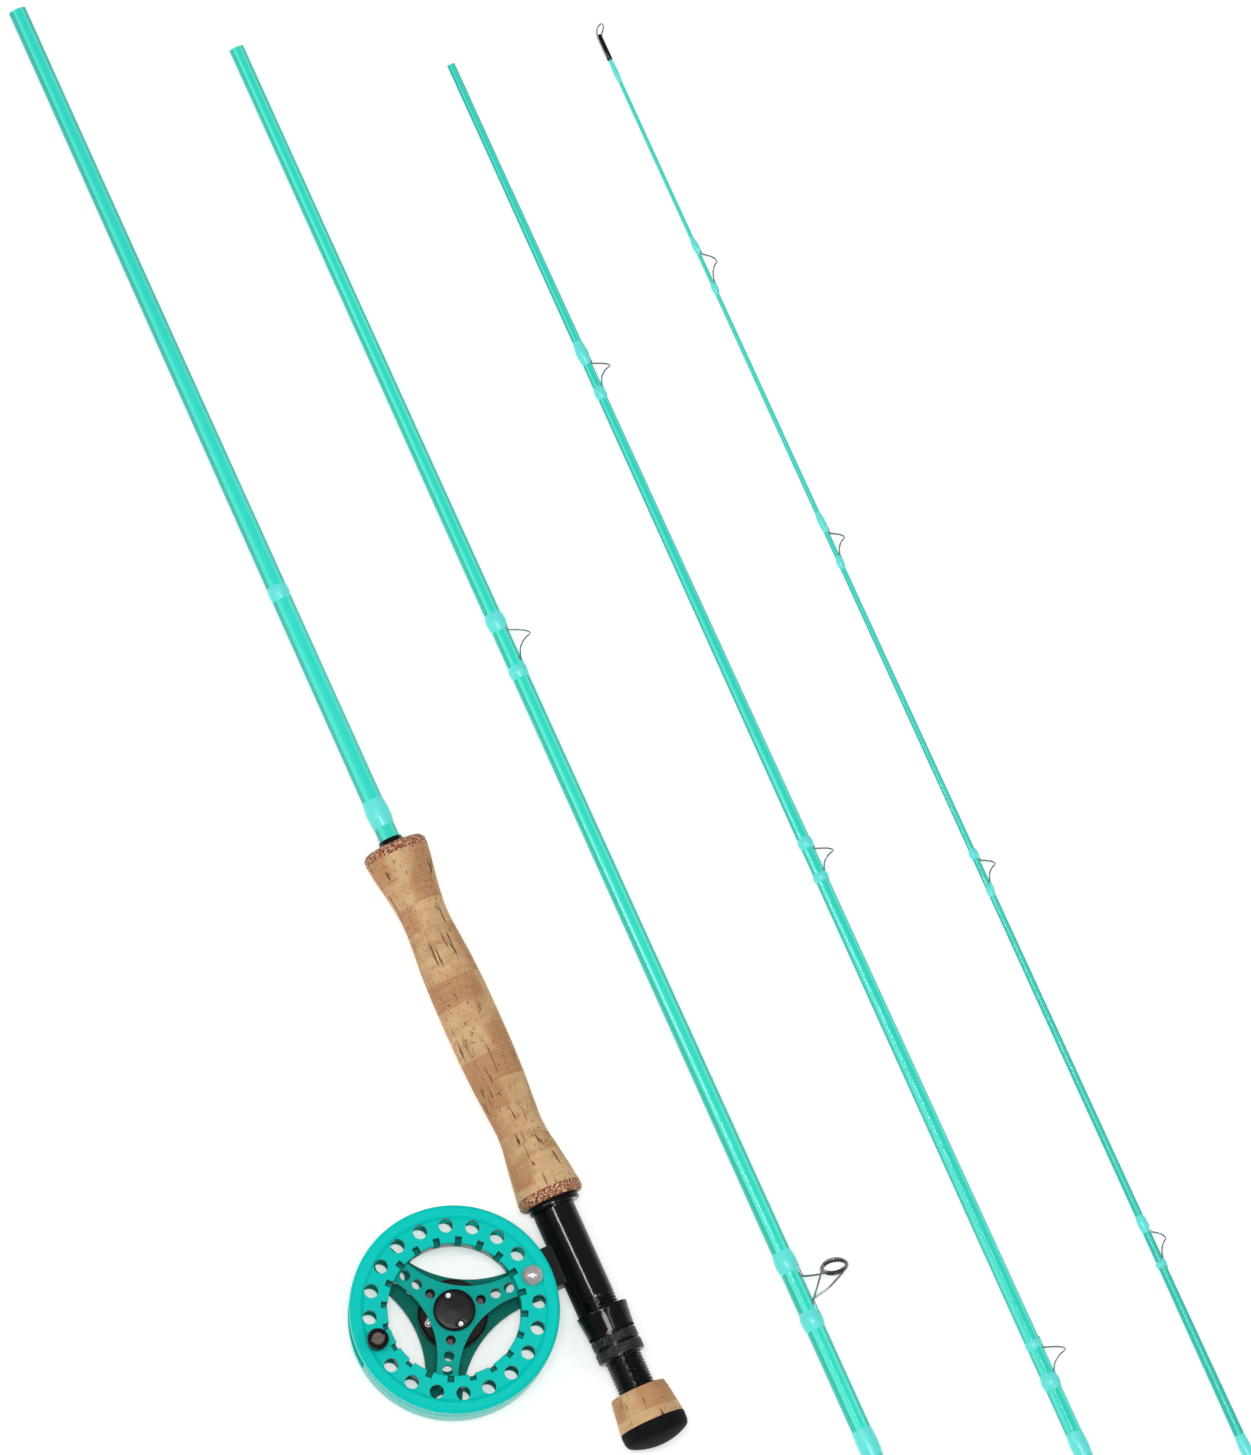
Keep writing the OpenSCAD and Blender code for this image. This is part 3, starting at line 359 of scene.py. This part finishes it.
# Spool and frame: the inner, arm and wall tones are painted shade in the recesses and behind the spool
TEAL = anodised_reel("teal_anodised", lin(0, 213, 200), lin(0, 208, 195), lin(0, 136, 124), 0.0425,
                     floor_z=0.0227, star=(0.0274, 0.034, lin(0, 170, 158)))
TEAL_FRAME = anodised_reel("teal_frame_painted_shade", lin(0, 206, 190), lin(0, 122, 108), lin(0, 92, 82), 0.0432)
BLACK = coated_material("black_anodised", lin(8, 8, 10), rough=0.13, spread=0.15, spec=0.24)
BLACK_SATIN = coated_material("black_satin", lin(14, 14, 17), rough=0.4, spread=0.15, spec=0.12)
RUBBER = coated_material("rubber", lin(15, 15, 16), rough=0.7, grain=1400.0, spread=0.25, bump=0.2, spec=0.1)
CAP = coated_material("cap_black", lin(13, 14, 17), rough=0.34, spread=0.1, spec=0.2)
BARREL = coated_material("black_polished", lin(8, 8, 10), rough=0.07, spread=0.1, bump=0.0, spec=0.3)
GLOSS = coated_material("black_gloss", lin(8, 8, 10), rough=0.1, spread=0.15)
CERAMIC = coated_material("ceramic", lin(44, 44, 47), rough=0.12, coat=0.8, spread=0.08, bump=0.0)
FRICTION = coated_material("friction_disc", lin(70, 70, 73), rough=0.7, spread=0.2, bump=0.2)
ARBOR = coated_material("arbor_foam", lin(214, 190, 150), rough=0.8, spread=0.12, bump=0.3)
DULL_STEEL = metal_material("dull_steel", lin(92, 84, 82), rough=0.5, grain=(1900, 1900, 400), amount=0.1)
STEEL = metal_material("steel", lin(176, 174, 176), rough=0.36, grain=(900, 900, 900))
BRIGHT = metal_material("bright_aluminium", lin(214, 215, 218), rough=0.24, grain=(1500, 1500, 200))
WIRE = metal_material("guide_wire", lin(160, 156, 160), rough=0.28, grain=(900, 900, 900))
SATIN = metal_material("satin_aluminium", lin(222, 214, 214), grain=(700, 700, 700), metal=0.62)
BRASS = metal_material("brass", lin(206, 170, 104), grain=(900, 900, 900))

SLOT = {
    "black_anodised": BLACK, "black_plastic": BLACK_SATIN, "cork": CORK,
    "burl_cork": BURL, "rubber": RUBBER, "arbor_foam": ARBOR, "teal_anodised": TEAL, "steel": STEEL,
    "bright_aluminium": BRIGHT, "friction_disc": FRICTION, "brass": BRASS, "guide_wire": WIRE,
    "ceramic": CERAMIC,
}
# Pieces whose look differs from the rest of their slot
OWN = {
    **BLANKS, **WRAPS, "reel_frame": TEAL_FRAME, "drag_housing": BLACK_SATIN, "hub_cap": CAP,
    "hub_cap_screws": BRIGHT, "handle_screw": DULL_STEEL, "drag_housing_screws": DULL_STEEL,
    "reel_foot": BLACK_SATIN, "counterweight": SATIN,
}
for sub in record["subparts"]:
    name = sub["node"]
    ob = nodes[name]
    ob.data.materials.clear()
    ob.data.materials.append(OWN.get(name) or SLOT[sub["material_slot"]])


# ---------------------------------------------------------------- edges of the CAD pieces

# Width of the bevel on each machined or moulded piece, in mm
SOFT_EDGES = {
    "spool": 0.22, "reel_frame": 0.25, "hub_cap": 0.15, "hub_insert": 0.12, "reel_foot": 0.35,
    "fixed_hood": 0.15, "sliding_hood": 0.2, "drag_housing": 0.2, "drag_knob": 0.25, "handle_knob": 0.12,
    "counterweight": 0.1, "handle_post": 0.1, "handle_screw": 0.08, "hub_cap_screws": 0.06,
    "winding_check": 0.15, "click_gear": 0.05, "click_pawl": 0.08, "drag_nut": 0.1, "drag_knob_screw": 0.08,
    "butt_cap": 0.3, "clutch_sleeve": 0.1, "drag_housing_screws": 0.08, "stripping_ring": 0.08,
    "tip_top_tube": 0.08, "grip_front_ring": 0.2, "grip_rear_ring": 0.2, "fighting_butt": 0.25,
}
for name, width in SOFT_EDGES.items():
    ob = nodes[name]
    weld = ob.modifiers.new("weld", "WELD")
    weld.merge_threshold = 0.000002
    bevel = ob.modifiers.new("bevel", "BEVEL")
    bevel.limit_method = "ANGLE"
    bevel.angle_limit = math.radians(38)
    bevel.width = width * MM
    bevel.segments = 2
    bevel.harden_normals = True


# ---------------------------------------------------------------- detailed pieces

def add_mesh(name, verts, faces, material, body, node, sharp=None, fade=None):
    """A smooth-shaded mesh that moves with a body and stands for one CAD node.

    sharp is the angle in degrees past which an edge stays sharp; fade is a value for each vertex.
    """
    me = bpy.data.meshes.new(name)
    me.from_pydata(verts, [], faces)
    me.validate()
    me.materials.append(material)
    for p in me.polygons:
        p.use_smooth = True
    if sharp:
        me.set_sharp_from_angle(angle=math.radians(sharp))
    if fade:
        a = me.attributes.new("fade", "FLOAT", "POINT")
        a.data.foreach_set("value", fade)
    o = bpy.data.objects.new(name, me)
    scene.collection.objects.link(o)
    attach(o, body)
    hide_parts(node)


def lathe(name, outline, material, body, node, seg, shape, sharp):
    """A closed outline of (radius, y) turned about the seat's axis; shape(r, y, angle) carves it."""
    verts, faces = [], []
    n = len(outline)
    for r, y in outline:
        for k in range(seg):
            a = TURN * k / seg
            q = shape(r, y, a)
            verts.append((SEAT_X + q * math.cos(a), y, SEAT_Z + q * math.sin(a)))
    for i in range(n):
        j = (i + 1) % n
        for k in range(seg):
            m = (k + 1) % seg
            faces.append((i * seg + k, i * seg + m, j * seg + m, j * seg + k))
    add_mesh(name, verts, faces, material, body, node, sharp)


ROLL = math.radians(40)     # the guides' turn about their blank
SNAKE_WIRE_R = 0.00036
STRIPPING_WIRE_R = 0.0005
EPOXY = 0.00012             # thickness of epoxy over a foot
FOOT_TAPER = 0.0035         # length over which a foot comes to full height
FILLET = 1.9                # width of the epoxy beside a foot, in heights of the foot
WRAP_SEGMENTS = 72
WRAP_ROWS = 30


def clamp(v):
    return max(0.0, min(1.0, v))


def stretches(node, blank, gap=0.0023):
    """[y0, y1, inner radius, outer radius] along a wraps node; stretches closer than gap are joined."""
    x, z = axis_of("butt_cap" if blank == "butt_blank" else blank)
    pts = sorted((v.co.y, math.hypot(v.co.x - x, v.co.z - z)) for v in nodes[node].data.vertices)
    out = []
    for y, r in pts:
        if out and y - out[-1][1] < gap:
            out[-1][1] = y
            out[-1][2] = min(out[-1][2], r)
            out[-1][3] = max(out[-1][3], r)
        else:
            out.append([y, y, r, r])
    return x, z, out


def foot_of(guide, wire_r, x, z):
    """A guide's two ends along y, the distance of its feet from the rod's axis, and its wire's radius."""
    vs = [v.co for v in nodes[guide].data.vertices]
    first, last = min(v.y for v in vs), max(v.y for v in vs)
    mid = (first + last) / 2
    ends = [v for v in vs if abs(v.y - mid) > 0.92 * (last - mid)]
    return first, last, sum(math.hypot(v.x - x, v.z - z) for v in ends) / len(ends), wire_r


def over_foot(r, y, a, rise, foot):
    """Radius of the epoxy where it covers a foot, with a fillet down to r on both sides."""
    first, last, d, wire_r = foot
    if not first - 0.001 < y < last + 0.001:
        return r
    end = clamp(min(y - first, last - y) / FOOT_TAPER + 0.25)
    over = (wire_r + EPOXY) * math.sqrt(end)
    side = d * math.sin(a - ROLL)
    if abs(side) >= over * FILLET or math.cos(a - ROLL) <= 0:
        return r
    round_top = d * math.cos(a - ROLL) + math.sqrt(max(over * over - side * side, 0))
    soft = 1 - (abs(side) / (over * FILLET)) ** 2
    want = max(round_top if abs(side) < over else 0, r + (d + over - r) * soft ** 2)
    return r + (want - r) * min(1.0, rise * 1.5)


def wrap_pieces(blank, body, guides):
    """Epoxied wraps: each swells smoothly and rises over the feet of the guides it binds."""
    node = WRAPS_OF[blank]
    x, z, found = stretches(node, blank)
    feet = [foot_of(g, wire_r, x, z) for g, wire_r in guides]
    verts, faces, fade = [], [], []
    seg = WRAP_SEGMENTS
    for y0, y1, r0, r1 in found:
        if r1 - r0 < 0.00005:
            continue
        ra, rb = blank_radius(blank, y0), blank_radius(blank, y1)
        base = len(verts)
        for i in range(WRAP_ROWS + 1):
            t = i / WRAP_ROWS
            y = y0 + (y1 - y0) * t
            rise = math.sin(math.pi * t) ** 1.4 if 0 < t < 1 else 0.0
            r = ra + (rb - ra) * t + 0.00002 + (r1 - max(ra, rb)) * rise
            for k in range(seg):
                a = TURN * k / seg
                q = max([r] + [over_foot(r, y, a, rise, foot) for foot in feet])
                verts.append((x + q * math.cos(a), y, z + q * math.sin(a)))
                fade.append(clamp(min(t, 1 - t) / 0.05))
        for i in range(WRAP_ROWS):
            row, above = base + i * seg, base + (i + 1) * seg
            for k in range(seg):
                m = (k + 1) % seg
                faces.append((row + k, row + m, above + m, above + k))
    add_mesh(node + "_epoxied", verts, faces, WRAPS[node], body, node, fade=fade)


def snakes(*numbers):
    return [("snake_guide_%d" % i, SNAKE_WIRE_R) for i in numbers]


wrap_pieces("butt_blank", "butt_section", [])
wrap_pieces("blank_2", "section_2", snakes(1) + [("stripping_frame", STRIPPING_WIRE_R)])
wrap_pieces("blank_3", "section_3", snakes(2, 3, 4))
wrap_pieces("blank_4", "tip_section", snakes(5, 6, 7, 8))


def lock_nut(node):
    """A nut with a diamond knurl between two plain shoulders."""
    lo, hi = box(node)
    r = (hi.x - lo.x) / 2
    y0, y1 = lo.y, hi.y
    shoulder = 0.0007
    bore = r - 0.0021
    chamfer = r - 0.0006
    plain = r - 0.00035
    rows = 26
    diamonds = 44
    diamond_length = 0.0015
    depth = 0.00032
    outline = [(bore, y0), (chamfer, y0), (plain, y0 + 0.0002), (plain, y0 + shoulder)]
    outline += [(r, y0 + shoulder + (y1 - y0 - 2 * shoulder) * i / rows) for i in range(rows + 1)]
    outline += [(plain, y1 - shoulder), (plain, y1 - 0.0002), (chamfer, y1), (bore, y1)]

    def knurl(q, y, a):
        if q < r - 1e-6:
            return q
        u = a * diamonds / 2
        v = (y - y0) / diamond_length * math.pi
        return r - depth * (1 - abs(math.sin(u + v)) * abs(math.sin(u - v)))

    lathe(node + "_knurled", outline, GLOSS, node, node, diamonds * 8, knurl, 50)


lock_nut("lock_nut_front")
lock_nut("lock_nut_rear")


def seat_barrel():
    """The seat's barrel with its helical thread and the keyway along it."""
    lo, hi = box("seat_tube")
    y0, y1 = lo.y, hi.y
    r = (hi.x - lo.x) / 2
    thread_depth = 0.00045
    root = r - thread_depth
    inner = r - 0.0011
    key_floor = r - 0.0006
    pitch = 0.0015
    row_step = 0.00016
    smooth_from = box("sliding_hood")[1].y + 0.006
    key_angle = math.radians(112)
    key_half = 0.0015 / r
    first_row = y0 + 0.0006
    fine = [first_row + i * row_step for i in range(int((smooth_from - y0 - 0.0006) / row_step))]
    outline = [(inner, y0), (root, y0)] + [(r, y) for y in fine] + [
        (r, smooth_from + 0.0004), (r, smooth_from + 0.001), (r, y1 - 0.0005), (r, y1), (inner, y1)]

    def cut(q, y, a):
        if q <= root + 1e-7:
            return q
        from_key = abs((a - key_angle + math.pi) % TURN - math.pi)
        if from_key < key_half and y < smooth_from + 0.0004:
            return key_floor
        if y < smooth_from:
            tooth = abs((y / pitch - a / TURN) % 1.0 * 2 - 1)
            run_out = min(1.0, (smooth_from - y) / pitch)
            return r - thread_depth * clamp((tooth - 0.25) / 0.5) * run_out
        return q

    lathe("seat_barrel_threaded", outline, BARREL, "butt_section", "seat_tube", 288, cut, 30)


seat_barrel()


# ---------------------------------------------------------------- floor, light, camera

# The floor gives off a little light, so that it stays white under the reel's holes
floor_mat = Mat("floor_lit_acrylic", (0.82, 0.82, 0.82, 1), rough=0.9, spec=0.1)
floor_mat.set("Emission Color", (1, 1, 1, 1))
floor_mat.set("Emission Strength", 0.42)
bpy.ops.mesh.primitive_plane_add(size=30, location=(0.2, 0.2, -0.0002))
floor = bpy.context.object
floor.name = "floor"
floor.data.materials.append(floor_mat.m)

world = bpy.data.worlds.new("studio")
world.use_nodes = True
sky = world.node_tree.nodes["Background"]
sky.inputs["Color"].default_value = (1, 1, 1, 1)
sky.inputs["Strength"].default_value = 0.30
scene.world = world
scene.view_settings.view_transform = "Standard"

CAM_BACK = Vector((-0.151, -0.162, 0.975)).normalized()
CAM_RIGHT = Vector((0.9102, -0.4076, 0.0732))
CAM_RIGHT = (CAM_RIGHT - CAM_RIGHT.dot(CAM_BACK) * CAM_BACK).normalized()
CAM_UP = CAM_BACK.cross(CAM_RIGHT)
LOOK_AT = Vector((0.1848, 0.2188, 0.0))
DISTANCE = 6.0
VIEW_HEIGHT = 0.664615      # metres that the picture's height spans at the object
SENSOR = 24

cam_data = bpy.data.cameras.new("camera")
cam = bpy.data.objects.new("camera", cam_data)
scene.collection.objects.link(cam)
turned = Matrix((CAM_RIGHT, CAM_UP, CAM_BACK)).transposed().to_4x4()
cam.matrix_world = Matrix.Translation(LOOK_AT + CAM_BACK * DISTANCE) @ turned
cam_data.sensor_fit = "VERTICAL"
cam_data.sensor_height = SENSOR
cam_data.lens = SENSOR * DISTANCE / VIEW_HEIGHT
cam_data.clip_end = 60
scene.camera = cam


def area(name, right, up, back, size, power):
    """A soft light at a place given along the picture's right, its up and towards the camera."""
    d = bpy.data.lights.new(name, "AREA")
    d.shape = "RECTANGLE"
    d.size, d.size_y = size
    d.energy = power
    o = bpy.data.objects.new(name, d)
    scene.collection.objects.link(o)
    o.location = LOOK_AT + CAM_RIGHT * right + CAM_UP * up + CAM_BACK * back
    o.rotation_euler = (Vector((0.18, 0.2, 0.0)) - o.location).to_track_quat("-Z", "Y").to_euler()


area("front", 0.0, 0.1, 3.4, (0.9, 0.9), 46)
area("side", 1.7, 0.2, 2.6, (0.14, 2.0), 9)
area("streak", -1.5, 0.1, 2.6, (0.03, 2.4), 14)
